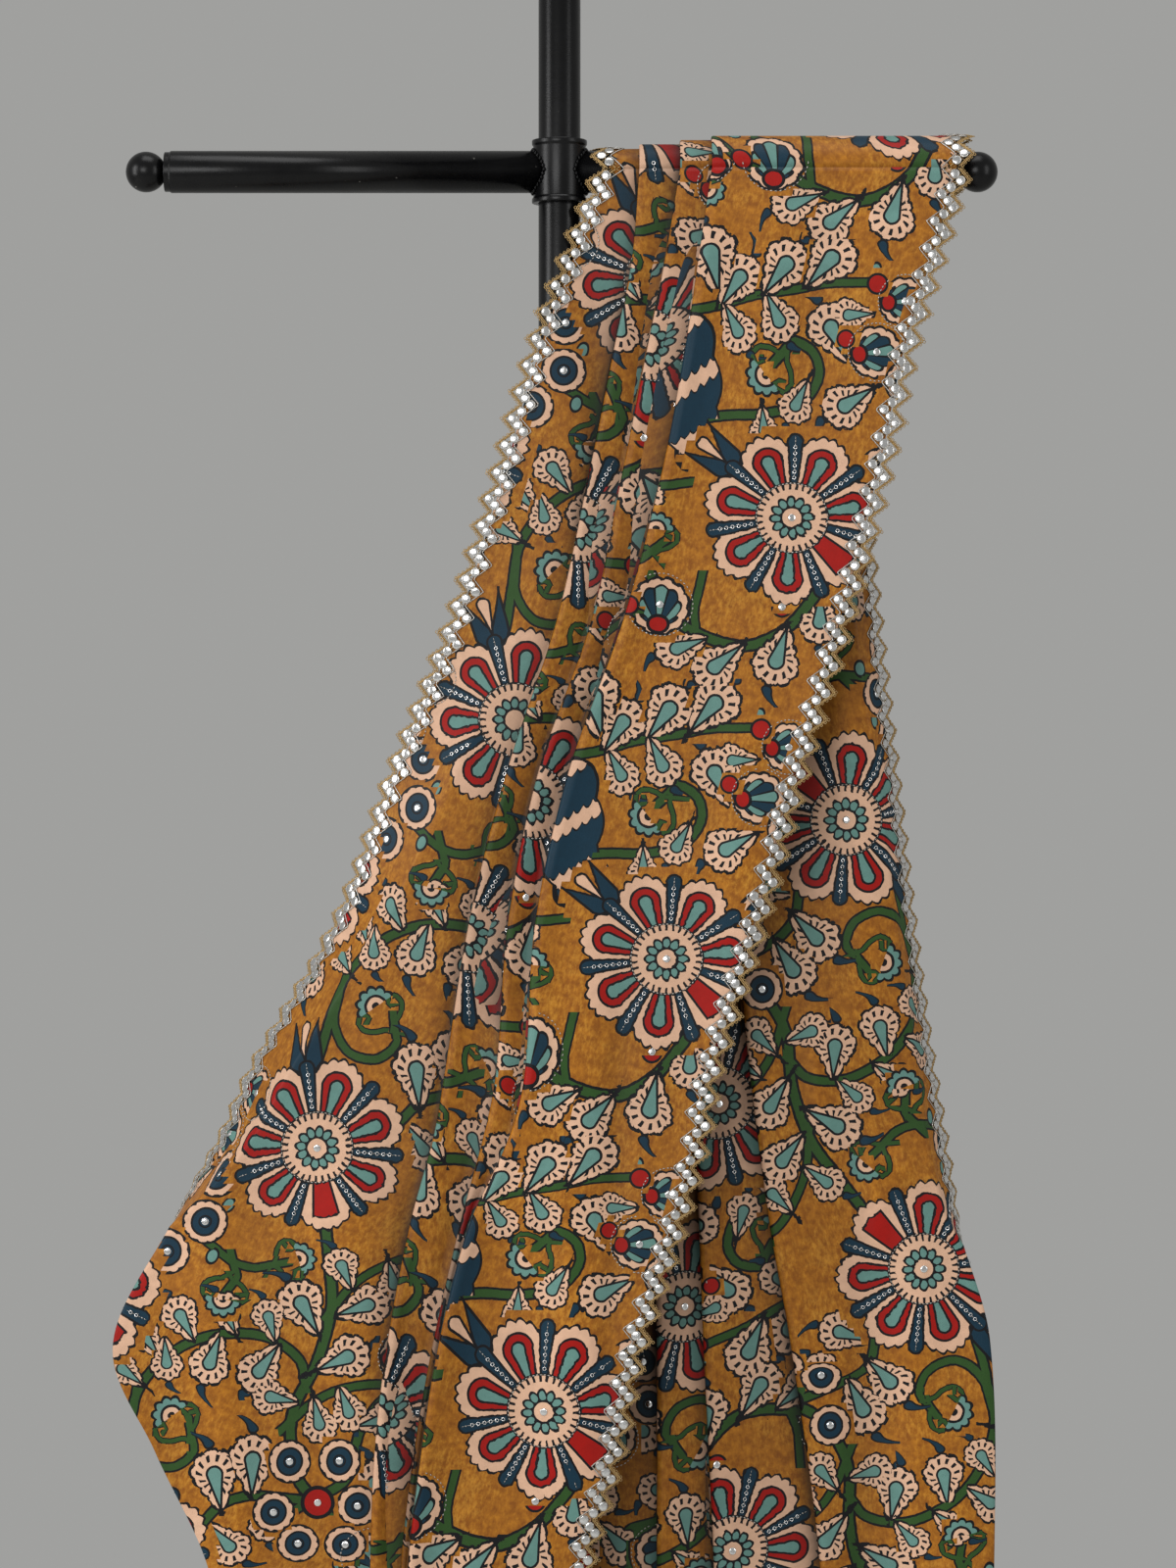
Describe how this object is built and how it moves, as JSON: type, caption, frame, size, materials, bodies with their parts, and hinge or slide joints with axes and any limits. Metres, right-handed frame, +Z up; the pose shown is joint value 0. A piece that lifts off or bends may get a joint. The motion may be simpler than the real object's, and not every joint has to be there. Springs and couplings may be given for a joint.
{
  "type": "printed silk saree on a T-shaped display stand",
  "caption": "Long printed silk saree with mirror lace borders, pleated and hung over one arm of a T-shaped metal display stand with a round base.",
  "frame": {"origin": "centre of the round base's underside, on the floor", "axes": "+Z up along the post, +X along the arm that carries the saree, -Y towards the viewer of its front"},
  "size_m": [0.5878, 0.38, 1.627],
  "materials": {
    "printed_silk": "satin silk crepe, mustard ground with a floral vine print in peach, red, teal, navy and green",
    "mirror_lace": "zigzag lace of gold thread with round foil mirrors",
    "black_gloss_paint": "semi-gloss black paint with small scratches"
  },
  "bodies": {
    "root": {"saree_front_stretch": "printed_silk", "saree_over_bar_stretch": "printed_silk", "saree_back_stretch": "printed_silk", "saree_turned_stretch": "printed_silk", "lace_front_left": "mirror_lace", "lace_front_right": "mirror_lace", "lace_over_bar_left": "mirror_lace", "lace_over_bar_right": "mirror_lace", "lace_turned_right": "mirror_lace", "lace_back_right": "mirror_lace", "stand_base": "black_gloss_paint", "stand_post": "black_gloss_paint", "stand_collar": "black_gloss_paint", "stand_arm_left": "black_gloss_paint", "stand_arm_right": "black_gloss_paint", "stand_ball_left": "black_gloss_paint", "stand_ball_right": "black_gloss_paint", "stand_ball_top": "black_gloss_paint"}
  },
  "joints": []
}
